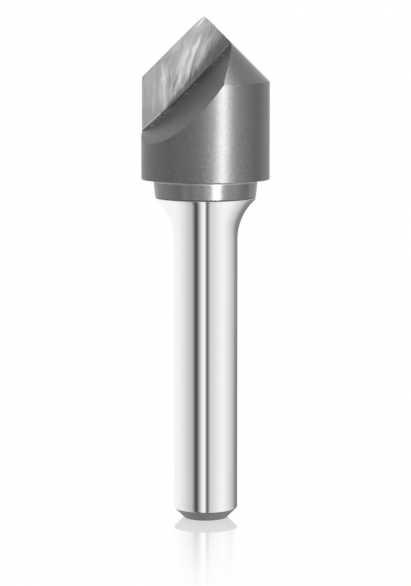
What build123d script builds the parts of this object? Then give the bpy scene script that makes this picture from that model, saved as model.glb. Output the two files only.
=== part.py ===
from build123d import *
from math import asin, cos, degrees, radians, sin, sqrt, tan
import os

# Single-flute 90 degree countersink bit: a solid carbide head brazed to a
# flared, polished steel shank.
# Frame: +Z is the turning axis, z = 0 is the lower end face of the shank and
# the point is at the top. The rake face looks towards -Y with the cutting edge
# on its -X side, which makes the bit right-hand cutting: seen from the point
# it turns anticlockwise, seen from the shank clockwise.

# ---- driving dimensions (mm) -------------------------------------------
head_d = 12.70              # 1/2 inch cutting diameter
shank_d = 6.35              # 1/4 inch shank
point_angle = 90.0          # included angle of the cone
edge_apex_z = 50.33         # height at which the cutting edge would meet the axis
relief_step = 0.19          # axial drop of the cone for each quarter turn behind the edge
head_bottom_z = 33.98       # underside of the 12.7 mm body
head_edge_round = 0.05      # edge break on the lower edge of the body
collar_top_d = 10.36        # tapered collar below the body, top
collar_foot_d = 9.99        # and foot
collar_root_fillet = 0.25   # fillet between the collar and the underside
seam_top_z = 32.25          # foot of the collar
braze_film = 0.12           # thickness of the solder film
braze_recess = 0.09         # how far the film's edge stands back from the collar
shank_bevel = 1.045         # 45 degree bevel on the lower end
flare_start_z = 28.00       # where the straight shank ends
flare_radius = 5.33         # concave radius of the flare
flare_arc_top_z = 32.00     # above this the rim is a short straight land
shank_rim_round = 0.08      # round on the top edge of the rim

# the flute is ground with one pass of a form wheel whose axis is parallel to Y
wheel_radius = 75.0         # 150 mm wheel
wheel_offset = 54.743       # wheel centre, out from the turning axis on the edge's side (-X)
wheel_z = 95.926            # and above the shank's end
past_centre = 0.20          # the rake face lies this far behind the turning axis
flank_mid_depth = 3.275     # the wheel's dressed flank: distance from the rake face
flank_mid_growth = 1.235    # and growth in radius there
flank_end_depth = 6.55
flank_end_growth = 2.878
flank_tail_depth = 2.5      # straight run-out of the flank, clear of the body
flank_tail_growth = 1.41
wheel_corner = 0.15         # corner radius of the wheel, left as a fillet at the root

os.makedirs("parts", exist_ok=True)

head_r = head_d / 2
shank_r = shank_d / 2
half = relief_step / 2


# ---- cutting head --------------------------------------------------------
# blank: tapered collar and cylindrical body turned in one piece
with BuildPart() as blank:
    with BuildSketch(Plane.XZ):
        with BuildLine():
            Polyline(
                (0, seam_top_z),
                (collar_foot_d / 2, seam_top_z),
                (collar_top_d / 2, head_bottom_z),
                (head_r, head_bottom_z),
                (head_r, edge_apex_z),
                (0, edge_apex_z),
                close=True,
            )
        make_face()
    revolve(axis=Axis.Z)
    lower_edge = (
        blank.edges()
        .filter_by(GeomType.CIRCLE)
        .filter_by(lambda e: abs(e.radius - head_r) < 1e-6)
        .sort_by(Axis.Z)[0]
    )
    fillet(lower_edge, head_edge_round)
    collar_root = (
        blank.edges()
        .filter_by(GeomType.CIRCLE)
        .filter_by(lambda e: abs(e.radius - collar_top_d / 2) < 1e-6)
    )
    fillet(collar_root, collar_root_fillet)

# relieved point: a four-centred spiral cone. Each quarter turn is a true cone
# whose axis steps round a small square, so each quarter runs on tangentially
# from the one before and the surface falls away evenly behind the edge.
cone_height = edge_apex_z - seam_top_z + head_r
base_r = cone_height * tan(radians(point_angle / 2))
quarters = [
    # (axis x, axis y, quarter turns of drop at the apex, start angle)
    (-half, -half, 0.5, 90),
    (-half, half, 1.5, 0),
    (half, half, 2.5, 270),
    (half, -half, 3.5, 180),
]
relieved = None
for cx, cy, turns, start in quarters:
    apex = edge_apex_z - turns * relief_step
    quarter = Solid.make_cone(base_r, 0, cone_height, Plane((0, 0, 0)), angle=90)
    quarter = Pos(cx, cy, apex - cone_height) * Rot(0, 0, start) * Part(quarter.wrapped)
    relieved = quarter if relieved is None else relieved + quarter
# the quarters leave a small square open round the axis; it is filled up to well
# below the point, and what is left open above that lies inside the flute
core_top = edge_apex_z - head_r / 2
core = Pos(0, 0, core_top - cone_height / 2) * Box(relief_step, relief_step, cone_height)
relieved = relieved + core

head = blank.part & relieved

# the flute
with BuildSketch() as wheel_profile:
    with BuildLine():
        arc = ThreePointArc(
            (wheel_radius, past_centre),
            (wheel_radius + flank_mid_growth, past_centre - flank_mid_depth),
            (wheel_radius + flank_end_growth, past_centre - flank_end_depth),
        )
        Polyline(
            (wheel_radius + flank_end_growth, past_centre - flank_end_depth),
            (
                wheel_radius + flank_end_growth + flank_tail_growth,
                past_centre - flank_end_depth - flank_tail_depth,
            ),
            (0, past_centre - flank_end_depth - flank_tail_depth),
            (0, past_centre),
            (wheel_radius, past_centre),
        )
    make_face()
    corner = wheel_profile.vertices().sort_by_distance((wheel_radius, past_centre, 0))[0]
    fillet(corner, wheel_corner)
wheel = revolve(wheel_profile.sketch, Axis.Y)
head = head - Pos(-wheel_offset, 0, wheel_z) * wheel

# ---- solder film ---------------------------------------------------------
film_bottom_z = seam_top_z - braze_film
film = Pos(0, 0, (film_bottom_z + seam_top_z) / 2) * Cylinder(
    collar_foot_d / 2 - braze_recess, braze_film
)

# ---- shank ---------------------------------------------------------------
rise = flare_arc_top_z - flare_start_z
flare_angle = asin(rise / flare_radius)
rim_r = shank_r + flare_radius * (1 - cos(flare_angle))
arc_mid_r = shank_r + flare_radius * (1 - cos(flare_angle / 2))
arc_mid_z = flare_start_z + flare_radius * sin(flare_angle / 2)

with BuildPart() as shank:
    with BuildSketch(Plane.XZ):
        with BuildLine():
            Polyline(
                (0, 0),
                (shank_r - shank_bevel, 0),
                (shank_r, shank_bevel),
                (shank_r, flare_start_z),
            )
            ThreePointArc(
                (shank_r, flare_start_z),
                (arc_mid_r, arc_mid_z),
                (rim_r, flare_arc_top_z),
            )
            Polyline(
                (rim_r, flare_arc_top_z),
                (rim_r, film_bottom_z),
                (0, film_bottom_z),
                (0, 0),
            )
        make_face()
    revolve(axis=Axis.Z)
    rim = (
        shank.edges()
        .filter_by(GeomType.CIRCLE)
        .filter_by(lambda e: abs(e.radius - rim_r) < 1e-6)
        .sort_by(Axis.Z)[-1]
    )
    fillet(rim, shank_rim_round)

# ---- nodes ---------------------------------------------------------------
nodes = {
    "cutting_head": head,
    "braze_joint": film,
    "shank": shank.part,
}
for name, shape in nodes.items():
    solids = shape.solids()
    assert len(solids) == 1, (name, len(solids))
    export_step(solids[0], f"parts/{name}.step")
    box = solids[0].bounding_box()
    print(name, round(solids[0].volume, 3), box.min, box.max)
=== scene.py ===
from math import acos, asin, atan2, cos, hypot, pi, radians, sin, sqrt, tan

import bpy
from bpy.props import FloatProperty, FloatVectorProperty, IntProperty, PointerProperty
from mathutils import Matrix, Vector
from mathutils.geometry import tessellate_polygon
from mathutils.kdtree import KDTree


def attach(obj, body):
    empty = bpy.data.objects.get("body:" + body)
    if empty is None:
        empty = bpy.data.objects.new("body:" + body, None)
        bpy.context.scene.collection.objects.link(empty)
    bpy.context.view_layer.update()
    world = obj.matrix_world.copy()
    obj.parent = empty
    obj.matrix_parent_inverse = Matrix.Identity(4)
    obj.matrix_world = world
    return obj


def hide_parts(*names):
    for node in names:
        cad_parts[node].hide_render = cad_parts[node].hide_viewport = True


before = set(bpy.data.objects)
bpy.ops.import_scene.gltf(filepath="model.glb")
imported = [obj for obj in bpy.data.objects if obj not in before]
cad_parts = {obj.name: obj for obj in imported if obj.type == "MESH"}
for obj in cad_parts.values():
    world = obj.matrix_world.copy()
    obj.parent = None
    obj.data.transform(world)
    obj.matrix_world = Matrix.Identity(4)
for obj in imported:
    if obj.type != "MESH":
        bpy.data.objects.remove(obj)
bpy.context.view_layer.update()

bl_info = {
    "name": "Single-flute countersink bit",
    "version": (1, 0, 0),
    "blender": (4, 5, 0),
    "location": "View3D > Sidebar > Countersink",
    "description": "Builds a carbide-headed countersink bit and its stage",
    "category": "Add Mesh",
}

MM = 0.001


# ---- Sizes and finishes that can be changed ----
def length(name, description, millimetres):
    """A length property, given in millimetres."""
    return FloatProperty(
        name=name, description=description, default=millimetres * MM,
        min=0.0, precision=6, unit="LENGTH",
    )


def angle(name, description, degrees):
    """An angle property, given in degrees."""
    return FloatProperty(
        name=name, description=description, default=radians(degrees),
        subtype="ANGLE", unit="ROTATION",
    )


def segments(number):
    """How many facets a turned piece has."""
    return IntProperty(
        name="Segments", description="Facets round the axis", default=number, min=24
    )


def tone(name, description, value):
    """A neutral metal colour."""
    return FloatVectorProperty(
        name=name, description=description, default=value,
        size=3, min=0.0, max=1.0, subtype="COLOR",
    )


def finish(name, description, value):
    """A roughness or strength between 0 and 1."""
    return FloatProperty(
        name=name, description=description, default=value,
        min=0.0, max=1.0, subtype="FACTOR",
    )


def lamp_level(name, description, value):
    """How bright a lamp looks, with white paper in the tent as 1."""
    return FloatProperty(name=name, description=description, default=value, min=0.0)


class HeadSizes(bpy.types.PropertyGroup):
    """Carbide head: turned blank, relieved cone and ground flute."""

    head_diameter: length("Head diameter", "Cutting diameter of the body", 12.70)
    edge_apex: length(
        "Edge apex", "Height at which the cutting edge would meet the axis", 50.33
    )
    relief_step: length(
        "Relief step", "Drop of the cone for each quarter turn behind the edge", 0.19
    )
    underside: length("Underside", "Height of the underside of the body", 33.98)
    edge_round: length("Edge round", "Edge break on the lower edge of the body", 0.05)
    collar_top: length("Collar top diameter", "Collar diameter at the body", 10.36)
    collar_foot: length("Collar foot diameter", "Collar diameter at the seam", 9.99)
    collar_fillet: length("Collar fillet", "Fillet between collar and body", 0.25)
    seam_top: length("Seam top", "Height of the foot of the collar", 32.25)
    wheel_radius: length("Wheel radius", "Radius of the form wheel", 75.0)
    wheel_offset: length("Wheel offset", "Distance of its centre from the axis", 54.743)
    wheel_height: length("Wheel height", "Height of its centre", 95.926)
    past_centre: length(
        "Past centre", "How far the rake face lies behind the axis", 0.20
    )
    flank_mid_depth: length("Flank middle", "Depth at which the flank is gauged", 3.275)
    flank_mid_growth: length("Middle growth", "Growth in radius at that depth", 1.235)
    flank_end_depth: length("Flank end", "Depth of the flank's end", 6.55)
    flank_end_growth: length("End growth", "Growth in radius at the end", 2.878)
    wheel_corner: length("Root fillet", "Corner radius of the wheel", 0.15)
    body_colour: tone("Body colour", "Satin sintered carbide", (0.150, 0.150, 0.151))
    # The face is lighter than the body: freshly ground, and partly painted light
    # standing in for a lamp on the face.
    face_colour: tone("Rake face colour", "Freshly ground face", (0.62, 0.62, 0.62))
    wall_colour: tone("Gash colour", "Ground wall of the flute", (0.17, 0.17, 0.171))
    collar_colour: tone("Collar colour", "Ground collar", (0.195, 0.195, 0.196))
    body_roughness: finish("Body roughness", "Satin of the body", 0.35)


class BrazeSizes(bpy.types.PropertyGroup):
    """Solder film between head and shank."""

    film_radius: length("Film radius", "Radius of the film", 4.95)
    film_bottom: length("Film bottom", "Height of its lower face", 32.13)
    film_top: length("Film top", "Height of its upper face", 32.25)
    meniscus: length("Meniscus", "How far the edge is drawn in", 0.03)
    unevenness: length("Unevenness", "Waver of the solder line", 0.04)
    seed: IntProperty(name="Seed", description="Seed of the waver", default=7)
    facets: segments(240)
    colour: tone("Solder colour", "Oxidised silver solder", (0.19, 0.187, 0.18))


class ShankSizes(bpy.types.PropertyGroup):
    """Turned and polished shank with its flare."""

    diameter: length("Shank diameter", "Quarter inch shank", 6.35)
    bevel: length("Bevel", "Bevel on the lower end", 1.045)
    bevel_round: length("Bevel round", "Polished-over edge above the bevel", 0.12)
    flare_start: length("Flare start", "Where the straight shank ends", 28.00)
    flare_radius: length("Flare radius", "Concave radius of the flare", 5.33)
    flare_arc_top: length("Flare arc top", "Where the flare meets its rim", 32.00)
    rim_round: length("Rim round", "Round on the top edge of the rim", 0.05)
    top: length("Top", "Height of the brazed face", 32.13)
    facets: segments(288)
    polish_colour: tone("Polished colour", "Polished steel", (0.93, 0.93, 0.93))
    # The bevel's colour is turned steel, darkened partly as painted shade of its
    # downward face.
    bevel_colour: tone("Bevel colour", "Turned steel", (0.30, 0.30, 0.30))


class StageSettings(bpy.types.PropertyGroup):
    """Camera, light tent and floor."""

    azimuth: angle("Azimuth", "Camera direction round the axis", 6.5)
    elevation: angle("Elevation", "Camera direction above the floor", 6.754)
    distance: length("Distance", "From the camera to the aim", 257.0)
    aim_height: length("Aim height", "Height of the point aimed at", 22.609)
    lens: FloatProperty(
        name="Lens", description="Focal length in millimetres", default=158.69,
        subtype="DISTANCE_CAMERA",
    )
    key_strip: lamp_level("Key strip", "Tall strip to the right of the camera", 13.0)
    left_fill: lamp_level("Left fill", "Fills the tent's left gap for the head", 0.62)
    near_fill: lamp_level("Near fill", "Soft glow left of the key strip", 1.45)
    far_fill: lamp_level("Far fill", "Soft glow right of the key strip", 0.22)
    rim_fill: lamp_level("Rim fill", "Lights the head's right-hand edge", 0.6)
    top_lamp: lamp_level("Top lamp", "Lamp over the cone", 7.0)
    mirror: finish("Floor reflection", "Reflection of the floor at the contact", 0.42)
    mirror_reach: length("Reflection reach", "Where that reflection has faded", 34.0)


# ---- Node trees written as expressions ----
def operator(operation, reflected=False):
    """A method that adds a Math node; reflected puts the other term first."""

    def combine(value, other):
        terms = (other, value) if reflected else (value, other)
        return value.graph.math(operation, *terms)

    return combine


class Value:
    """A socket that takes part in sums; every operation adds a Math node."""

    def __init__(self, graph, socket):
        self.graph = graph
        self.socket = socket

    __add__ = __radd__ = operator("ADD")
    __mul__ = __rmul__ = operator("MULTIPLY")
    __sub__ = operator("SUBTRACT")
    __rsub__ = operator("SUBTRACT", reflected=True)
    __truediv__ = operator("DIVIDE")
    __rtruediv__ = operator("DIVIDE", reflected=True)
    __pow__ = operator("POWER")

    def __neg__(self):
        return self * -1.0

    def math(self, operation, *others):
        return self.graph.math(operation, self, *others)

    def band(self, low, high):
        """0 at low and 1 at high, eased between them; low may be the larger."""
        turned = low > high
        inputs = {
            "Value": self,
            "From Min": min(low, high),
            "From Max": max(low, high),
            "To Min": float(turned),
            "To Max": float(not turned),
        }
        settings = {"interpolation_type": "SMOOTHSTEP", "clamp": True}
        return self.graph.node("ShaderNodeMapRange", inputs, **settings)


class Graph:
    """A node tree of any kind, filled through one method."""

    def __init__(self, tree):
        self.tree = tree

    def node(self, kind, inputs=None, output=0, **settings):
        """Adds a node, its settings first, and gives one of its outputs."""
        node = self.tree.nodes.new(kind)
        for key, setting in settings.items():
            setattr(node, key, setting)
        for key, given in (inputs or {}).items():
            socket = node.inputs[key]
            if isinstance(given, Value):
                self.tree.links.new(given.socket, socket)
            elif isinstance(given, tuple) and len(socket.default_value) > len(given):
                socket.default_value = (*given, 1.0)
            else:
                socket.default_value = given
        return node if output is None else Value(self, node.outputs[output])

    def math(self, operation, *terms):
        terms = dict(enumerate(terms))
        return self.node("ShaderNodeMath", terms, operation=operation)

    def vector(self, x, y, z):
        return self.node("ShaderNodeCombineXYZ", {"X": x, "Y": y, "Z": z})

    def parts(self, vector):
        node = self.node("ShaderNodeSeparateXYZ", {"Vector": vector}, None)
        return [Value(self, node.outputs[axis]) for axis in "XYZ"]


def emptied(owner):
    """The node tree of a new material or world, without its first nodes."""
    owner.use_nodes = True
    owner.node_tree.nodes.clear()
    return owner.node_tree


class Metal(Graph):
    """A material that ends in one Principled surface of metal."""

    def __init__(self, name):
        self.material = bpy.data.materials.new(name)
        super().__init__(emptied(self.material))
        place = self.node("ShaderNodeTexCoord", output="Object")
        # everything below is reckoned in millimetres
        self.x, self.y, self.z = (part * (1.0 / MM) for part in self.parts(place))
        self.radius = (self.x**2.0 + self.y**2.0).math("SQRT")

    def noise(self, x, y, z, detail=2.0, roughness=0.5):
        """Noise between -0.5 and 0.5."""
        inputs = {
            "Vector": self.vector(x, y, z),
            "Scale": 1.0,
            "Detail": detail,
            "Roughness": roughness,
        }
        return self.node("ShaderNodeTexNoise", inputs, noise_dimensions="3D") - 0.5

    def grain(self, across, along, detail=2.0, roughness=0.5):
        """Noise with one scale across the axis and one along it, per mm."""
        x, y, z = self.x * across, self.y * across, self.z * along
        return self.noise(x, y, z, detail, roughness)

    def finish(self, colour, amount, roughness, height, micrometres):
        """Ends the material: a colour times an amount, a roughness and a bump."""
        grey = self.vector(amount, amount, amount)
        shade = self.node(
            "ShaderNodeMix", {"Factor": 1.0, 6: tuple(colour), 7: grey}, output=2,
            data_type="RGBA", blend_type="MULTIPLY",
        )
        bump = {"Height": height, "Distance": micrometres * 1e-6, "Strength": 1.0}
        surface = {
            "Metallic": 1.0,
            "Base Color": shade,
            "Roughness": roughness,
            "Normal": self.node("ShaderNodeBump", bump),
        }
        metal = self.node("ShaderNodeBsdfPrincipled", surface)
        self.node("ShaderNodeOutputMaterial", {"Surface": metal}, None)
        return self.material


# ---- Metals ----
def satin_carbide(sizes):
    """Body and cone: sintered and cylindrically ground, with a fine mottle."""
    m = Metal("satin_carbide")
    mottle = m.grain(4.2, 4.2, detail=3.0, roughness=0.6)
    speckle = m.grain(9.0, 9.0, detail=1.0)
    rings = m.grain(0.25, 16.0)
    patch = m.grain(0.35, 0.30, detail=1.0)
    amount = 1.0 + mottle * 0.52 + speckle * 0.40 + rings * 0.14 + patch * 0.12
    rough = sizes.body_roughness + mottle * 0.10 + rings * 0.05
    return m.finish(sizes.body_colour, amount, rough, mottle * 0.6 + rings * 0.4, 1.6)


def ground_collar(sizes):
    """Collar: finer ground than the body, with a painted highlight on its root fillet.
    """
    m = Metal("ground_collar")
    rings = m.grain(0.3, 22.0)
    mottle = m.grain(4.0, 4.0, detail=3.0, roughness=0.6)
    root = (sizes.underside - sizes.collar_fillet) / MM
    # painted highlight: the fillet under the body is lighter, a bright line round the
    # collar's top
    painted_fillet_highlight = m.z.band(root - 0.06, root + 0.06)
    amount = 1.0 + rings * 0.20 + mottle * 0.42 + painted_fillet_highlight * 0.8
    rough = 0.27 + mottle * 0.06 + painted_fillet_highlight * 0.08
    return m.finish(sizes.collar_colour, amount, rough, rings * 0.4 + mottle * 0.6, 0.6)


def ground_face(sizes):
    """Rake face: bright from the wheel and painted light; streaked; painted shade at
    its root.

    All places on it are in millimetres.
    """
    m = Metal("ground_face")
    x, z = m.x, m.z
    bend = m.noise(x * 0.55, 0.0, z * 0.50)
    waver = m.noise(x * 1.3, 5.0, z * 0.9)
    cloud = m.noise(x * 1.1, 9.0, z * 0.7, detail=3.0)

    # streaks stand upright on the left and lean over in the middle
    middle = x.band(-5.2, -2.6)
    climb = (z - 44.5).math("MAXIMUM", 0.0) ** 1.8
    spine = (z - 42.2) * 0.16 + climb * 0.06
    stand = z * 0.03
    flow = x - spine * middle + bend * 0.8 + waver * 0.3
    broad = m.noise(flow * 1.5, 3.0, z * 0.30)
    streaks = m.noise(flow * 3.8, 0.0, z * 0.38, detail=3.0)
    hair = m.noise(flow * 10.0, 7.0, z * 0.55)
    uneven = (broad * 0.85 + streaks * 0.95) * (0.25 + middle * 0.75) + hair * 0.30

    def reflection_streak(centre, width, low, high):
        """A painted reflection: a bright bundle about a wavering centre, fading at both
        its ends.
        """
        off = ((x - centre + bend * 0.5 + waver * 0.3 + hair * 0.15) / width) ** 2.0
        line = (-off).math("EXPONENT")
        ends = z.band(low - 0.8, low + 0.6) * z.band(high + 0.8, high - 0.8)
        return line * ends * (0.85 + streaks * 2.4 + hair * 1.6).math("MAXIMUM", 0.0)

    # painted reflections: bright streaked bundles across the face
    bright = (
        reflection_streak(spine - 2.90, 0.36, 43.4, 46.4) * 0.42
        + reflection_streak(spine - 2.10, 0.27, 44.2, 47.9) * 0.44
        + reflection_streak(stand - 5.48, 0.28, 41.2, 44.8) * 0.38
        + reflection_streak(stand - 6.40, 0.20, 40.0, 43.4) * 0.12
    )
    # painted highlight: a broad bright patch high on the face towards the tip; the face
    # is darker towards its foot
    upper = z.band(45.8, 47.2) * x.band(0.3, -1.1) * 0.16
    foot = z.band(42.4, 40.0) * 0.11

    # a thin line along the edge is darker, and a painted highlight lights the tip and a
    # lip inside its edge
    inside = sizes.edge_apex / MM - z - x.math("ABSOLUTE")
    dull = inside.band(0.16, 0.04) * x.band(-1.0, -2.5) * 0.24
    lip = (inside - 0.44).math("ABSOLUTE").band(0.16, 0.02)
    tip = z.band(48.0, 49.3) * 0.10 + lip * z.band(48.8, 49.4) * x.band(0.2, 0.0) * 0.5

    # painted shade towards the root, over a width that grows with height, and on the
    # right of the face
    across, up = x + sizes.wheel_offset / MM, z - sizes.wheel_height / MM
    gap = sizes.wheel_radius / MM - (across**2.0 + up**2.0).math("SQRT")
    width = (x + 4.8).math("MAXIMUM", 0.0) * 0.30 + 0.06
    clear = ((gap + cloud * 0.5 + streaks * 0.5) / width).band(0.35, 1.15)
    left = (x + broad * 1.2).band(1.6, -0.4)
    # painted highlight: a thin bright line beside the root, low on the left
    rim = gap.band(0.04, 0.10) * gap.band(0.24, 0.15) * x.band(-3.0, -4.6) * 0.28

    # the grinding grain and the painted reflections together, capped
    bright = (uneven + bright).math("MINIMUM", 0.42)
    amount = 0.63 + bright + upper + tip + rim - dull - foot
    amount = amount * (0.42 + clear * 0.58) * (0.75 + left * 0.25)
    rough = 0.30 + hair * 0.10
    return m.finish(sizes.face_colour, amount, rough, broad * 0.6 + hair * 0.4, 2.5)


# pitch in mm of the comb of painted reflection at the root of the flute
COMB_PITCH = 0.42


def root_comb_glint(m, turn):
    """A comb of painted reflection at the root of the flute, by its place along the arc
    in mm.
    """
    waver = m.noise(turn * 1.1, 2.0, 4.0, detail=1.0)
    patch = m.noise(turn * 0.5, 8.0, 1.0, detail=1.0)
    comb = ((turn + waver * 0.8) * (2.0 * pi / COMB_PITCH)).math("SINE")
    return comb.band(-0.3, 0.95) * patch.band(-0.14, 0.0)


def ground_gash(sizes):
    """Wall of the flute: marks of the wheel run along it, painted light and shade lie
    on it, a comb of painted reflection crosses its root.
    """
    m = Metal("ground_gash")
    up, out = m.z - sizes.wheel_height / MM, m.x + sizes.wheel_offset / MM
    turn = up.math("ARCTAN2", out) * (sizes.wheel_radius / MM)
    depth = sizes.past_centre / MM - m.y
    marks = m.noise(turn * 0.12, depth * 5.0, 0.0, detail=3.0)
    mottle = m.grain(4.0, 4.0, detail=3.0, roughness=0.6)
    reach = depth + m.noise(turn * 2.4, 6.0, depth * 0.4, detail=1.0) * 2.2
    # painted reflection: the rake face's streaks mirrored as a bright comb along the
    # root
    comb_glint = root_comb_glint(m, turn - depth * 0.35) * reach.band(1.7, 0.10)
    comb_glint = comb_glint * depth.band(0.02, 0.30)
    # painted light: brighter near the root, more so to the right, and over the upper
    # right of the wall
    root = depth.band(1.6, 0.1) * (m.x.band(-0.5, 1.2) * 1.1 + 0.9)
    upper = m.x.band(-0.5, 2.0) * m.z.band(43.5, 47.0)
    # painted shade: darker along the wall's outer edge on the right, and in the root's
    # left corner
    edge_shadow = m.radius.band(6.12, 6.28) * m.x.band(0.2, 2.0)
    corner = depth.band(0.14, 0.02) * m.x.band(-5.0, -3.2)
    amount = 0.84 + marks * 0.26 + mottle * 0.36 + root * 0.34 + comb_glint * 1.6
    amount = (amount + upper * 0.9 - edge_shadow * 0.36) * (1.0 - corner * 0.5)
    rough = 0.36 + marks * 0.10
    return m.finish(sizes.wall_colour, amount, rough, marks * 0.5 + mottle * 0.5, 2.0)


def polished_steel(sizes):
    """Shank: mirror polish with hairlines round the axis."""
    m = Metal("polished_steel")
    hair = m.grain(0.5, 30.0)
    haze = m.grain(0.25, 0.12)
    amount = 1.0 + hair * 0.015 + haze * 0.015
    return m.finish(sizes.polish_colour, amount, 0.045 + haze * 0.02, hair, 0.01)


def turned_bevel(sizes):
    """Lower bevel and end face: plain turned steel, left matte, its dark colour partly
    painted shade.
    """
    m = Metal("turned_bevel")
    feed = m.noise(m.radius * 14.0, m.z * 14.0, 0.0)
    amount = 1.0 + feed * 0.34 + m.grain(2.2, 2.2) * 0.40
    return m.finish(sizes.bevel_colour, amount, 0.62 + feed * 0.10, feed, 1.2)


def dull_solder(sizes):
    """Solder line: oxidised, uneven, with a few brighter beads."""
    m = Metal("dull_solder")
    bead = m.grain(1.6, 4.0)
    dust = m.grain(9.0, 9.0)
    amount = 0.95 + bead.band(-0.05, 0.20) * 0.6 + dust * 0.4
    return m.finish(sizes.colour, amount, 0.42 + dust * 0.2, dust, 4.0)


# ---- Turned pieces, made by Geometry Nodes ----
SOCKETS = {
    float: "NodeSocketFloat",
    int: "NodeSocketInt",
    bpy.types.Material: "NodeSocketMaterial",
}
FILLET_POINTS = 32
# Points of the rolled sheet closer than this, in metres, are one point.
SEAM = 1e-7
# How closely the solder's edge wavers, and the share of its radius left round.
WAVES, ROUND_SHARE = 9.0, 0.9
# How far below the bevel's top its metal ends, in radii of the edge above it.
BEVEL_END = 0.35


def plain_sizes(sizes):
    """The lengths and counts of a group, without colours and finishes."""
    return {
        key: getattr(sizes, key)
        for key in sizes.__annotations__
        if not key.endswith(("colour", "roughness"))
    }


def turning_tree(name, values, profile, uneven):
    """A tree that fillets a profile of (radius, height, round) and revolves it.

    values maps the names of the tree's inputs to what they are set to, and
    profile gives the corners, made from those inputs.
    """
    tree = bpy.data.node_groups.new(name, "GeometryNodeTree")
    for way in ("INPUT", "OUTPUT"):
        tree.interface.new_socket(
            "Geometry", in_out=way, socket_type="NodeSocketGeometry"
        )
    for label, value in values.items():
        kind = SOCKETS[type(value)]
        socket = tree.interface.new_socket(label, in_out="INPUT", socket_type=kind)
        if kind != "NodeSocketMaterial":
            socket.default_value = value
        if kind == "NodeSocketFloat":
            socket.subtype = "DISTANCE"

    g = Graph(tree)
    start = g.node("NodeGroupInput", output=None)
    given = {label: Value(g, start.outputs[label]) for label in values}

    # corners of the profile, in order from the axis round to the axis
    corners = profile(given)
    line = {"Count": len(corners), "Offset": (0.0, 0.0, MM)}
    line = g.node("GeometryNodeMeshLine", line, mode="OFFSET", count_mode="TOTAL")
    index = g.node("GeometryNodeInputIndex")
    place, rounding = (0.0, 0.0, 0.0), 0.0
    for number, (radius, height, corner) in enumerate(corners):
        here = g.node(
            "FunctionNodeCompare", {2: index, 3: number},
            data_type="INT", operation="EQUAL",
        )
        spot = g.vector(radius, 0.0, height)
        choice = {"Switch": here, "False": place, "True": spot}
        place = g.node("GeometryNodeSwitch", choice, input_type="VECTOR")
        rounding = here * corner + rounding
    line = g.node("GeometryNodeSetPosition", {"Geometry": line, "Position": place})
    line = g.node(
        "GeometryNodeStoreNamedAttribute",
        {"Geometry": line, "Name": "round", "Value": rounding},
        data_type="FLOAT", domain="POINT",
    )
    rounds = g.node(
        "GeometryNodeInputNamedAttribute", {"Name": "round"}, data_type="FLOAT"
    )
    curve = g.node("GeometryNodeMeshToCurve", {"Mesh": line})
    rounded = {"Curve": curve, "Count": FILLET_POINTS, "Radius": rounds}
    outline = g.node("GeometryNodeFilletCurve", rounded, mode="POLY")

    # a flat grid is rolled round the axis; its rows follow the profile
    count = g.node(
        "GeometryNodeAttributeDomainSize", {"Geometry": outline}, "Point Count",
        component="CURVE",
    )
    size = {"Vertices X": given["facets"] + 1.0, "Vertices Y": count}
    sheet = g.node("GeometryNodeMeshGrid", size)
    row = index.math("FLOORED_MODULO", count)
    column = (index / count).math("FLOOR")
    position = g.node("GeometryNodeInputPosition")
    sample = g.node(
        "GeometryNodeSampleIndex",
        {"Geometry": outline, "Value": position, "Index": row},
        data_type="FLOAT_VECTOR", domain="POINT",
    )
    radius, _, height = g.parts(sample)
    turn = column / given["facets"] * (2.0 * pi)
    along, aside = turn.math("COSINE"), turn.math("SINE")
    if uneven:
        ring = g.vector(along * WAVES, aside * WAVES, 0.0)
        waver = {"Vector": ring, "W": given["seed"], "Scale": 1.0, "Detail": 3.0}
        waver = g.node("ShaderNodeTexNoise", waver, noise_dimensions="4D")
        edge = radius.math("GREATER_THAN", given["film_radius"] * ROUND_SHARE)
        radius = radius + (waver - 0.5) * given["unevenness"] * edge
    place = g.vector(radius * along, radius * aside, height)
    solid = g.node("GeometryNodeSetPosition", {"Geometry": sheet, "Position": place})
    merged = {"Geometry": solid, "Distance": SEAM}
    solid = g.node("GeometryNodeMergeByDistance", merged)
    for label, value in values.items():
        if not isinstance(value, bpy.types.Material):
            continue
        choice = {"Geometry": solid, "Material": given[label]}
        if label == "bevel_material":
            limit = given["bevel"] - given["bevel_round"] * BEVEL_END
            choice["Selection"] = g.parts(position)[2].math("LESS_THAN", limit)
        solid = g.node("GeometryNodeSetMaterial", choice)
    g.node("NodeGroupOutput", {"Geometry": solid}, None)
    return tree


def new_object(name, data):
    """An object in the scene."""
    made = bpy.data.objects.new(name, data)
    bpy.context.scene.collection.objects.link(made)
    return made


def turned_piece(name, values, profile, uneven=False):
    """Runs a turning tree and gives its result as a plain closed mesh."""
    piece = new_object(name, bpy.data.meshes.new(name))
    tree = turning_tree(name + "_turning", values, profile, uneven)
    modifier = piece.modifiers.new("turning", "NODES")
    modifier.node_group = tree
    for item in tree.interface.items_tree:
        if item.in_out == "INPUT" and item.name in values:
            modifier[item.identifier] = values[item.name]
    bpy.context.view_layer.update()
    ready = piece.evaluated_get(bpy.context.evaluated_depsgraph_get())
    mesh = bpy.data.meshes.new_from_object(ready)
    mesh.name = name
    if not mesh.polygons:
        raise RuntimeError(f"the turning tree of {name} gave no faces")
    piece.modifiers.clear()
    old, piece.data = piece.data, mesh
    bpy.data.meshes.remove(old)
    if enclosed_volume(mesh) < 0.0:
        mesh.flip_normals()
    check_closed(mesh)
    return piece


def enclosed_volume(mesh):
    """Signed volume, positive when the faces point outwards."""
    mesh.calc_loop_triangles()
    total = 0.0
    for triangle in mesh.loop_triangles:
        a, b, c = (mesh.vertices[i].co for i in triangle.vertices)
        total += a.dot(b.cross(c)) / 6.0
    return total


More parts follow.
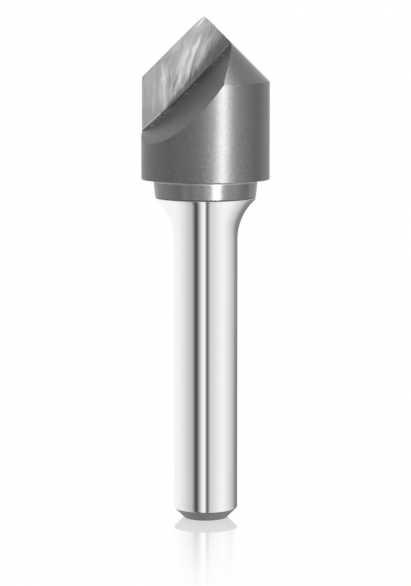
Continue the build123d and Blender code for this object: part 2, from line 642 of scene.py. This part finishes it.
def check_closed(mesh):
    """Raises when an edge doesn't join exactly two faces."""
    uses = {}
    for face in mesh.polygons:
        for key in face.edge_keys:
            uses[key] = uses.get(key, 0) + 1
    odd = [key for key, count in uses.items() if count != 2]
    if odd:
        spots = [tuple(mesh.vertices[first].co / MM) for first, _ in odd[:5]]
        raise RuntimeError(f"{mesh.name} is not closed at {len(odd)} edges: {spots}")


# How near, in metres, a point is taken to lie on an arc or on the axis.
ON_ARC = 2e-8
ON_AXIS = 1e-9


def turned_normals(mesh, arcs, burnished):
    """Gives every corner the normal of the true turned surface.

    arcs are (centre radius, centre height, radius, side): side is 1 where the
    surface bulges and -1 where it is hollow. burnished is (low, high, lean):
    faces between those heights are shaded as if they leaned out by that angle,
    and hollow ones never as if they leaned out further.
    """
    low, high, lean = burnished
    leaning = (cos(lean), -sin(lean))
    normals = [None] * len(mesh.loops)
    for face in mesh.polygons:
        face.use_smooth = True
        points = [mesh.vertices[i].co for i in face.vertices]
        on_arc = None
        for arc in arcs:
            reach = [hypot(hypot(p.x, p.y) - arc[0], p.z - arc[1]) for p in points]
            if max(abs(far - arc[2]) for far in reach) < ON_ARC:
                on_arc = arc
        middle = face.center
        flat = Vector((middle.x, middle.y)).normalized()
        slope = (face.normal.x * flat.x + face.normal.y * flat.y, face.normal.z)
        if low < middle.z < high:
            slope = leaning
        for loop, p in zip(face.loop_indices, points):
            out = hypot(p.x, p.y)
            nr, nz = slope
            if on_arc:
                centre, height, radius, side = on_arc
                nr = side * (out - centre) / radius
                nz = side * (p.z - height) / radius
                if side < 0 and nz < leaning[1]:
                    nr, nz = leaning
            if out < ON_AXIS:
                normals[loop] = Vector((0.0, 0.0, 1.0 if nz > 0 else -1.0))
            else:
                normal = Vector((nr * p.x / out, nr * p.y / out, nz))
                normals[loop] = normal.normalized()
    mesh.normals_split_custom_set(normals)


# Past 45 degrees the flare would mirror the shank below it in broken marks.
STEEPEST_SHOWN = radians(44.0)


def build_shank(sizes):
    """The shank: bevel, straight body, concave flare and narrow rim."""
    values = plain_sizes(sizes)
    start, flare_r = values.pop("flare_start"), sizes.flare_radius
    lean = asin((sizes.flare_arc_top - start) / flare_r)
    shank_r = sizes.diameter / 2
    values["rim_radius"] = rim_r = shank_r + flare_r * (1 - cos(lean))
    values["flare_corner"] = start + flare_r * tan(lean / 2)
    values["material"] = polished_steel(sizes)
    values["bevel_material"] = turned_bevel(sizes)

    def profile(s):
        radius, rim, top = s["diameter"] / 2.0, s["rim_radius"], s["top"]
        return [
            (0.0, 0.0, 0.0),
            (radius - s["bevel"], 0.0, 0.0),
            (radius, s["bevel"], s["bevel_round"]),
            (radius, s["flare_corner"], s["flare_radius"]),
            (rim, s["flare_arc_top"], 0.0),
            (rim, top, s["rim_round"]),
            (0.0, top, 0.0),
        ]

    piece = turned_piece("shank_body", values, profile)
    land_top = sizes.top - sizes.rim_round
    bevel_top = sizes.bevel + sizes.bevel_round * tan(pi / 8)
    arcs = (
        (shank_r + flare_r, start, flare_r, -1),
        (rim_r - sizes.rim_round, land_top, sizes.rim_round, 1),
        (shank_r - sizes.bevel_round, bevel_top, sizes.bevel_round, 1),
    )
    shown_lean = min(lean, STEEPEST_SHOWN)
    turned_normals(piece.data, arcs, (sizes.flare_arc_top, land_top, shown_lean))
    return piece


def build_braze(sizes):
    """The solder film, drawn in between the two faces."""

    def profile(s):
        radius, bottom, top = s["film_radius"], s["film_bottom"], s["film_top"]
        return [
            (0.0, bottom, 0.0),
            (radius, bottom, 0.0),
            (radius - s["meniscus"], (bottom + top) / 2.0, 0.0),
            (radius, top, 0.0),
            (0.0, top, 0.0),
        ]

    values = {**plain_sizes(sizes), "material": dull_solder(sizes)}
    return turned_piece("solder_line", values, profile, uneven=True)


# ---- Cutting head, built face by face ----
# How finely it is divided: down the wall of the flute, across it and round its
# root; along the rake face's outline; down the cone, the body and the band of
# the body that follows the shoulder; round the rounds of the turned parts.
WALL_ROWS, WALL_COLUMNS, ROOT_STEPS = 76, 56, 6
FACE_STEPS, SIDE_STEPS = 140, 4
CONE_STEPS, CONE_CROWDING = 18, 1.3
BODY_STEPS, BAND_STEPS = 8, 4
EDGE_STEPS, FILLET_STEPS, COLLAR_STEPS = 6, 10, 6
# Corners closer than this, in millimetres, are one point.
SAME_POINT = 2e-5
# How often a search halves its range.
HALVINGS = 70


def spread(start, end, steps):
    """Evenly spaced numbers from start to end, both included."""
    return [start + (end - start) * i / steps for i in range(steps + 1)]


class Shell:
    """Collects faces with exact corner normals and closes them into a mesh."""

    def __init__(self):
        self.points = []
        self.faces = []

    def face(self, points, normals, metal):
        start = len(self.points)
        self.points += [Vector(p) for p in points]
        ring = range(start, start + len(points))
        self.faces.append((ring, [Vector(n).normalized() for n in normals], metal))

    def grid(self, rows, metal, flip=False):
        """rows of (point, normal); neighbouring rows have the same length."""
        for low, high in zip(rows, rows[1:]):
            for i in range(len(low) - 1):
                ring = [low[i], low[i + 1], high[i + 1], high[i]]
                if flip:
                    ring.reverse()
                self.face([p for p, _ in ring], [n for _, n in ring], metal)

    def mesh(self, name, metals):
        tree = KDTree(len(self.points))
        for i, p in enumerate(self.points):
            tree.insert(p, i)
        tree.balance()
        first, keep, where = {}, [], {}
        for i, p in enumerate(self.points):
            if i in first:
                continue
            where[i] = len(keep)
            keep.append(p * MM)
            for _, j, _ in tree.find_range(p, SAME_POINT):
                first.setdefault(j, i)
        faces, normals, slots = [], [], []
        for face, turned, slot in self.faces:
            ring, kept = [], []
            for i, n in zip(face, turned):
                v = where[first[i]]
                if ring and v in (ring[0], ring[-1]):
                    continue
                ring.append(v)
                kept.append(n)
            if len(ring) >= 3:
                faces.append(ring)
                normals += kept
                slots.append(slot)
        mesh = bpy.data.meshes.new(name)
        mesh.from_pydata(keep, [], faces)
        for metal in metals:
            mesh.materials.append(metal)
        for polygon, slot in zip(mesh.polygons, slots):
            polygon.material_index = slot
            polygon.use_smooth = True
        mesh.normals_split_custom_set(normals)
        return mesh


class HeadForm:
    """The surfaces of the head in millimetres: cone, wheel and turned blank."""

    def __init__(self, sizes):
        for key, size in plain_sizes(sizes).items():
            setattr(self, key, size / MM)
        self.r = self.head_diameter / 2
        self.half = self.relief_step / 2
        self.dress_wheel()

    # the relieved cone: four quarters whose axes step round a small square
    def quarter(self, x, y):
        h, s = self.half, self.relief_step
        if x < -h and y > -h:
            return -h, -h, self.edge_apex - 0.5 * s
        if x >= -h and y > h:
            return -h, h, self.edge_apex - 1.5 * s
        if x >= h:
            return h, h, self.edge_apex - 2.5 * s
        return h, -h, self.edge_apex - 3.5 * s

    def cone(self, x, y):
        cx, cy, apex = self.quarter(x, y)
        return apex - hypot(x - cx, y - cy)

    def cone_normal(self, x, y):
        cx, cy, _ = self.quarter(x, y)
        far = hypot(x - cx, y - cy) or 1.0
        return ((x - cx) / far, (y - cy) / far, 1.0)

    # the wheel's dressed flank is an arc through three gauged points
    def dress_wheel(self):
        w = self.wheel_radius
        ax, ay = w, 0.0
        bx, by = w + self.flank_mid_growth, self.flank_mid_depth
        cx, cy = w + self.flank_end_growth, self.flank_end_depth
        d = 2 * (ax * (by - cy) + bx * (cy - ay) + cx * (ay - by))
        a2, b2, c2 = ax * ax + ay * ay, bx * bx + by * by, cx * cx + cy * cy
        self.arc_r = (a2 * (by - cy) + b2 * (cy - ay) + c2 * (ay - by)) / d
        self.arc_d = (a2 * (cx - bx) + b2 * (ax - cx) + c2 * (bx - ax)) / d
        self.arc = hypot(ax - self.arc_r, ay - self.arc_d)
        # its corner is rounded, which leaves a fillet at the root of the gash
        c = self.wheel_corner
        self.corner_r = self.arc_r - sqrt((self.arc + c) ** 2 - (c - self.arc_d) ** 2)
        far = hypot(self.corner_r - self.arc_r, c - self.arc_d)
        self.tangent_d = self.arc_d + (c - self.arc_d) / far * self.arc

    def flank(self, depth):
        """Radius of the wheel at a depth, and the wheel's outward normal."""
        c = self.wheel_corner
        if depth < self.tangent_d - 1e-12:
            rise = sqrt(max(c * c - (depth - c) ** 2, 0.0))
            return self.corner_r + rise, (rise / c, (depth - c) / c)
        rise = self.arc_d - depth
        reach = sqrt(self.arc**2 - rise**2)
        return self.arc_r - reach, (reach / self.arc, rise / self.arc)

    def wall(self, x, y):
        radius, _ = self.flank(self.past_centre - y)
        return self.wheel_height - sqrt(radius**2 - (x + self.wheel_offset) ** 2)

    def wall_normal(self, x, y):
        radius, (nr, nd) = self.flank(self.past_centre - y)
        ex = (x + self.wheel_offset) / radius
        ez = (self.wall(x, y) - self.wheel_height) / radius
        return (-nr * ex, nd, -nr * ez)

    def rim(self, y, side):
        return side * sqrt(max(self.r**2 - y * y, 0.0))

    def meeting(self, low, high, gap):
        """Where gap changes sign between low and high."""
        positive = gap(low) > 0
        for _ in range(HALVINGS):
            middle = (low + high) / 2
            if (gap(middle) > 0) == positive:
                low = middle
            else:
                high = middle
        return (low + high) / 2

    def wall_right(self, y):
        """Right end of the wall at this y: on the cone or on the body."""
        end = self.rim(y, 1)
        if self.wall(end, y) <= self.cone(end, y):
            return end
        return self.meeting(0.5, end, lambda x: self.cone(x, y) - self.wall(x, y))


def arc_stations(centre, radius, start, end, steps, metal, side=1):
    """Stations (radius, height, normal's radius and height, metal) on an arc."""
    stations = []
    for a in spread(start, end, steps):
        out, up = cos(a), sin(a)
        spot = (centre[0] + radius * out, centre[1] + radius * up)
        stations.append((*spot, side * out, side * up, metal))
    return stations


def turned_profile(form, body, collar):
    """Lower edge, underside, root fillet, collar and foot, from the body in."""
    edge, fillet = form.edge_round, form.collar_fillet
    top_r, foot_r = form.collar_top / 2, form.collar_foot / 2
    under, foot_z = form.underside, form.seam_top
    slant = hypot(top_r - foot_r, under - foot_z)
    lean_r, lean_z = (under - foot_z) / slant, -(top_r - foot_r) / slant
    # where the fillet touches the collar, and its centre
    s = (fillet + fillet * lean_z) / lean_r
    touch_r, touch_z = top_r + lean_z * s, under - lean_r * s
    centre = (touch_r + fillet * lean_r, touch_z + fillet * lean_z)
    end = atan2(touch_z - centre[1], touch_r - centre[0])
    down = (0, -1)
    profile = arc_stations(
        (form.r - edge, under + edge), edge, 0.0, -pi / 2, EDGE_STEPS, body
    )
    profile += [(form.r - edge, under, *down, body), (centre[0], under, *down, body)]
    profile += arc_stations(centre, fillet, pi / 2, end, FILLET_STEPS, collar, side=-1)
    profile += [
        (radius, height, lean_r, lean_z, collar)
        for radius, height in zip(
            spread(touch_r, foot_r, COLLAR_STEPS), spread(touch_z, foot_z, COLLAR_STEPS)
        )
    ]
    return profile + [(foot_r, foot_z, *down, collar), (0.0, foot_z, *down, collar)]


def build_head(sizes):
    """The carbide head as one closed shell of exact surfaces."""
    form = HeadForm(sizes)
    shell = Shell()
    BODY, COLLAR, FACE, WALL = range(4)
    r, back = form.r, form.past_centre

    # rows of the gash wall: round the root fillet, then out to the body's side
    c = form.wheel_corner
    sweep = acos((c - form.tangent_d) / c)
    depths = [c - c * cos(a) for a in spread(0.0, sweep, ROOT_STEPS)]
    depths[-1] = form.tangent_d
    lines = [back - depth for depth in depths]
    first = -asin(lines[-1] / r)
    lines += [-r * sin(a) for a in spread(first, pi / 2, WALL_ROWS)[1:]]
    lines[-1] = -r
    meet = form.meeting(
        lines[ROOT_STEPS],
        -r * 0.999,
        lambda y: form.wall(form.rim(y, 1), y) - form.cone(form.rim(y, 1), y),
    )
    lines = sorted(lines + [meet], reverse=True)
    rows = []
    for y in lines:
        end = form.rim(y, 1) if y == meet else form.wall_right(y)
        xs = spread(form.rim(y, -1), end, WALL_COLUMNS)
        rows.append([((x, y, form.wall(x, y)), form.wall_normal(x, y)) for x in xs])
    left, right = ([row[side][0] for row in rows] for side in (0, -1))
    shell.grid(rows, WALL, flip=True)

    # rake face: the root, the right-hand cone line, the tip and the edge
    turns = spread(atan2(right[0][1], right[0][0]), pi - asin(back / r), FACE_STEPS)
    xs = [back / tan(turn) for turn in turns[1:-1]] + [form.rim(back, -1)]
    cone_line = [right[0]] + [(x, back, form.cone(x, back)) for x in xs]
    foot, top = left[0], cone_line[-1]
    side = [(foot[0], back, z) for z in spread(top[2], foot[2], SIDE_STEPS)[1:-1]]
    outline = [Vector(p) for p in [p for p, _ in rows[0]] + cone_line[1:] + side]
    for triangle in tessellate_polygon([outline]):
        corners = [outline[i] for i in triangle]
        facing = (corners[1] - corners[0]).cross(corners[2] - corners[0])
        if facing.y > 0:
            corners.reverse()
        shell.face(corners, [(0, -1, 0)] * 3, FACE)

    # cone: straight down from its inner edge to the shoulder
    inner = [p for y, p in zip(lines, right) if y >= meet][::-1]
    inner = inner[:-1] + cone_line
    columns = []
    for p in inner:
        turn = atan2(p[1], p[0])
        outer = (r * cos(turn), r * sin(turn)) if p is not inner[-1] else p[:2]
        column = [(p, form.cone_normal(*p[:2]))]
        for i in range(1, CONE_STEPS + 1):
            f = (i / CONE_STEPS) ** CONE_CROWDING
            x, y = p[0] + (outer[0] - p[0]) * f, p[1] + (outer[1] - p[1]) * f
            column.append(((x, y, form.cone(x, y)), form.cone_normal(x, y)))
        columns.append(column)
    shell.grid(columns, BODY)

    # body: up to the gash on one side and to the shoulder on the other
    low = form.underside + form.edge_round
    gash = left + [p for y, p in zip(lines, right) if y <= meet][::-1][1:]
    shoulder = [column[-1][0] for column in columns]
    drop = shoulder[-1][2] - left[0][2]

    def pillar(x, y, levels):
        return [((x, y, z), (x, y, 0.0)) for z in levels]

    pillars = [pillar(x, y, spread(low, top, BODY_STEPS)) for x, y, top in gash]
    shell.grid(pillars, BODY, flip=True)
    pillars = []
    for i, (x, y, top) in enumerate(shoulder):
        level = top - drop * i / (len(shoulder) - 1)
        levels = spread(low, level, BODY_STEPS) + spread(level, top, BAND_STEPS)[1:]
        pillars.append(pillar(x, y, levels))
    shell.grid(pillars, BODY, flip=True)

    # the turned parts below, revolved through the same points of the rim
    base = [(x / r, y / r) for x, y, _ in gash + shoulder[1:]]
    profile = turned_profile(form, BODY, COLLAR)
    for upper, lower in zip(profile, profile[1:]):
        bands = [
            [((x * out, y * out, z), (x * nr, y * nr, nz)) for x, y in base]
            for out, z, nr, nz, _ in (lower, upper)
        ]
        shell.grid(bands, lower[4])

    makers = (satin_carbide, ground_collar, ground_face, ground_gash)
    mesh = shell.mesh("carbide_head", [maker(sizes) for maker in makers])
    check_closed(mesh)
    if enclosed_volume(mesh) < 0:
        raise RuntimeError("the head is inside out")
    return new_object("carbide_head", mesh)


# ---- Stage ----
# Dark cards hung in the white light tent, placed by where a turned bar shows
# them, in its radii from the middle. Across: where the shade starts, where it is
# full from and to, where it ends, and how much light it takes.
CARDS = [
    (-0.96, -0.22, -0.22, -0.05, 0.55),
    (-0.44, -0.30, -0.28, -0.16, 0.83),
    (-0.02, 0.05, 0.06, 0.16, 0.75),
    (-0.02, 0.01, 0.01, 0.59, 0.36),
]
# Towards both edges of the bar: where it starts, where it is full, how much.
SIDE_CARDS = [(0.51, 1.06, 0.60), (0.84, 0.95, 0.43)]
TENT_WHITE = 0.97
# Strips of light for the head alone: two directions, each a turn from the
# camera's side and an elevation, and the width, all in degrees.
STRIPS = {
    "key_strip": ((22.0, -24.0), (42.0, 26.0), 11.0),
    "left_fill": ((-34.0, -38.0), (-34.0, 18.0), 32.0),
    "near_fill": ((7.0, -38.0), (7.0, 18.0), 13.0),
    "far_fill": ((60.0, -38.0), (60.0, 18.0), 36.0),
    "rim_fill": ((150.0, -38.0), (150.0, 14.0), 60.0),
    "top_lamp": ((60.0, 74.0), (130.0, 74.0), 14.0),
}
STRIP_FOCUS = Vector((0.0, 0.0, 0.039))
STRIP_REACH = 0.5


def camera_axes(settings):
    """Unit vectors on the floor, towards the camera and to its right."""
    a = settings.azimuth
    return Vector((sin(a), -cos(a), 0.0)), Vector((cos(a), sin(a), 0.0))


def direction(settings, turn, raised):
    """Unit vector at a turn from the camera's side and an elevation."""
    front, right = camera_axes(settings)
    flat = front * cos(turn) + right * sin(turn)
    return flat * cos(raised) + Vector((0, 0, sin(raised)))


def light_tent(settings):
    """World: white where the camera sees it, a tent with dark gaps for metal.

    Each direction is lit by what it would show on a turned bar seen from the
    camera's side, so the gaps run straight up the shank and over its flare.
    """
    world = bpy.data.worlds.new("light_tent")
    bpy.context.scene.world = world
    g = Graph(emptied(world))
    x, y, z = g.parts(g.node("ShaderNodeTexCoord", output="Generated"))
    _, right = camera_axes(settings)
    home = direction(settings, 0.0, settings.elevation)

    # the normal that would throw this direction back to the camera
    nx, ny, nz = x + home.x, y + home.y, z + home.z
    flat = (nx**2.0 + ny**2.0).math("SQRT").math("MAXIMUM", 1e-4)
    aside = (nx * right.x + ny * right.y) / flat
    fall = -nz / flat
    flare = bpy.context.scene.countersink_shank
    lean = asin((flare.flare_arc_top - flare.flare_start) / flare.flare_radius)
    tilt = fall.math("ARCTANGENT").math("MAXIMUM", 0.0).math("MINIMUM", lean)
    swell = flare.flare_radius / (flare.diameter / 2)
    across = aside * ((1.0 - tilt.math("COSINE")) * swell + 1.0)
    edge = aside + tilt.math("MINIMUM", 0.30) * 0.20

    tent = TENT_WHITE
    for start, full, last, end, depth in CARDS:
        tent = tent * (1.0 - across.band(start, full) * across.band(end, last) * depth)
    for start, full, depth in SIDE_CARDS:
        tent = tent * (1.0 - edge.band(start, full) * depth)
    roof = (-fall).band(0.21, 0.40)
    seen = g.node("ShaderNodeLightPath", output="Is Camera Ray")
    shown = 1.0 - (1.0 - tent) * (1.0 - roof) * (1.0 - seen)
    light = g.node("ShaderNodeBackground", {"Color": shown, "Strength": 1.0})
    g.node("ShaderNodeOutputWorld", {"Surface": light}, None)


def add_strip(name, settings, low, high, width, receivers):
    """A flat lamp between two directions, aimed at the head."""
    ends = [
        STRIP_FOCUS + direction(settings, *map(radians, end)) * STRIP_REACH
        for end in (low, high)
    ]
    middle, span = (ends[0] + ends[1]) / 2, ends[1] - ends[0]
    lamp = bpy.data.lights.new(name, "AREA")
    lamp.shape = "RECTANGLE"
    lamp.size = 2 * STRIP_REACH * tan(radians(width / 2))
    lamp.size_y = span.length
    lamp.energy = pi * lamp.size * lamp.size_y * getattr(settings, name)
    holder = new_object(name, lamp)
    back = (middle - STRIP_FOCUS).normalized()
    side = span.cross(back).normalized()
    turn = holder.matrix_world.to_3x3()
    turn.col[0], turn.col[1], turn.col[2] = side, back.cross(side), back
    holder.matrix_world = turn.to_4x4()
    holder.location = middle
    holder.visible_camera = False
    holder.light_linking.receiver_collection = receivers


FLOOR_RINGS = (0.02, 0.08, 0.3, 3.0)
FLOOR_SPOKES = 64


def build_floor(settings):
    """A pale floor that mirrors the bit softly where it stands."""
    mesh = bpy.data.meshes.new("floor")
    points, faces = [(0, 0, 0)], []
    for ring in FLOOR_RINGS:
        for a in spread(0.0, 2 * pi, FLOOR_SPOKES)[:-1]:
            points.append((ring * cos(a), ring * sin(a), 0.0))
    for i in range(FLOOR_SPOKES):
        j = (i + 1) % FLOOR_SPOKES
        faces.append((0, 1 + i, 1 + j))
        for k in range(len(FLOOR_RINGS) - 1):
            a, b = 1 + k * FLOOR_SPOKES, 1 + (k + 1) * FLOOR_SPOKES
            faces.append((a + i, b + i, b + j, a + j))
    mesh.from_pydata(points, [], faces)
    floor = new_object("floor", mesh)
    floor.visible_glossy = False
    floor.visible_shadow = False

    material = bpy.data.materials.new("pale_floor")
    g = Graph(emptied(material))
    x, y, _ = g.parts(g.node("ShaderNodeTexCoord", output="Object"))
    away = (x**2.0 + y**2.0).math("SQRT")
    near = (1.0 - away / settings.mirror_reach).math("MAXIMUM", 0.0) ** 1.3
    white = {"Color": (1, 1, 1)}
    glow = g.node("ShaderNodeEmission", {**white, "Strength": 1.0})
    matte = g.node("ShaderNodeBsdfDiffuse", white)
    gloss = g.node("ShaderNodeBsdfGlossy", {**white, "Roughness": 0.03})
    paper = g.node("ShaderNodeMixShader", {"Fac": 0.06, 1: glow, 2: matte})
    shown = {"Fac": near * settings.mirror, 1: paper, 2: gloss}
    shown = g.node("ShaderNodeMixShader", shown)
    g.node("ShaderNodeOutputMaterial", {"Surface": shown}, None)
    mesh.materials.append(material)


def place_camera(settings):
    """Camera at the working distance, aimed at the middle of the bit."""
    lens = bpy.data.cameras.new("camera")
    lens.lens = settings.lens
    lens.clip_start = 0.01
    lens.clip_end = 20.0
    camera = new_object("camera", lens)
    back = direction(settings, 0.0, settings.elevation)
    camera.location = Vector((0, 0, settings.aim_height)) + back * settings.distance
    camera.rotation_euler = (-back).to_track_quat("-Z", "Y").to_euler()
    bpy.context.scene.camera = camera


# ---- Operators, panel and registration ----
def settle(piece, node):
    """Lets a finished piece stand for its solid."""
    piece.location = (0.0, 0.0, 0.0)
    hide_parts(node)
    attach(piece, "root")


class BuildShank(bpy.types.Operator):
    """Turn the polished shank"""

    bl_idname = "countersink.build_shank"
    bl_label = "Build shank"

    def execute(self, context):
        settle(build_shank(context.scene.countersink_shank), "shank")
        return {"FINISHED"}


class BuildBraze(bpy.types.Operator):
    """Run the solder film between head and shank"""

    bl_idname = "countersink.build_braze"
    bl_label = "Build solder film"

    def execute(self, context):
        settle(build_braze(context.scene.countersink_braze), "braze_joint")
        return {"FINISHED"}


class BuildHead(bpy.types.Operator):
    """Grind the carbide head"""

    bl_idname = "countersink.build_head"
    bl_label = "Build cutting head"

    def execute(self, context):
        settle(build_head(context.scene.countersink_head), "cutting_head")
        return {"FINISHED"}


class BuildStage(bpy.types.Operator):
    """Set up camera, light tent and floor"""

    bl_idname = "countersink.build_stage"
    bl_label = "Build stage"

    def execute(self, context):
        head = bpy.data.objects.get("carbide_head")
        if head is None:
            raise RuntimeError("build the cutting head before the stage")
        settings = context.scene.countersink_stage
        context.scene.view_settings.view_transform = "Standard"
        place_camera(settings)
        light_tent(settings)
        build_floor(settings)
        receivers = bpy.data.collections.new("lit_by_strips")
        receivers.objects.link(head)
        for name, strip in STRIPS.items():
            add_strip(name, settings, *strip, receivers)
        return {"FINISHED"}


class CountersinkPanel(bpy.types.Panel):
    """Lists the pieces of the bit and its stage"""

    bl_idname = "VIEW3D_PT_countersink"
    bl_label = "Countersink bit"
    bl_space_type = "VIEW_3D"
    bl_region_type = "UI"
    bl_category = "Countersink"

    def draw(self, context):
        layout = self.layout
        for build, group in zip(BUILDERS, GROUPS):
            box = layout.box()
            box.operator(build.bl_idname)
            settings = getattr(context.scene, group)
            for key in settings.__annotations__:
                box.prop(settings, key)


GROUPS = {
    "countersink_shank": ShankSizes,
    "countersink_braze": BrazeSizes,
    "countersink_head": HeadSizes,
    "countersink_stage": StageSettings,
}
BUILDERS = (BuildShank, BuildBraze, BuildHead, BuildStage)
CLASSES = (*GROUPS.values(), *BUILDERS, CountersinkPanel)


def register():
    for kind in CLASSES:
        bpy.utils.register_class(kind)
    for name, kind in GROUPS.items():
        setattr(bpy.types.Scene, name, PointerProperty(type=kind))


def unregister():
    for name in GROUPS:
        delattr(bpy.types.Scene, name)
    for kind in reversed(CLASSES):
        bpy.utils.unregister_class(kind)


def main():
    register()
    bpy.ops.countersink.build_shank()
    bpy.ops.countersink.build_braze()
    bpy.ops.countersink.build_head()
    bpy.ops.countersink.build_stage()


if __name__ == "__main__":
    main()
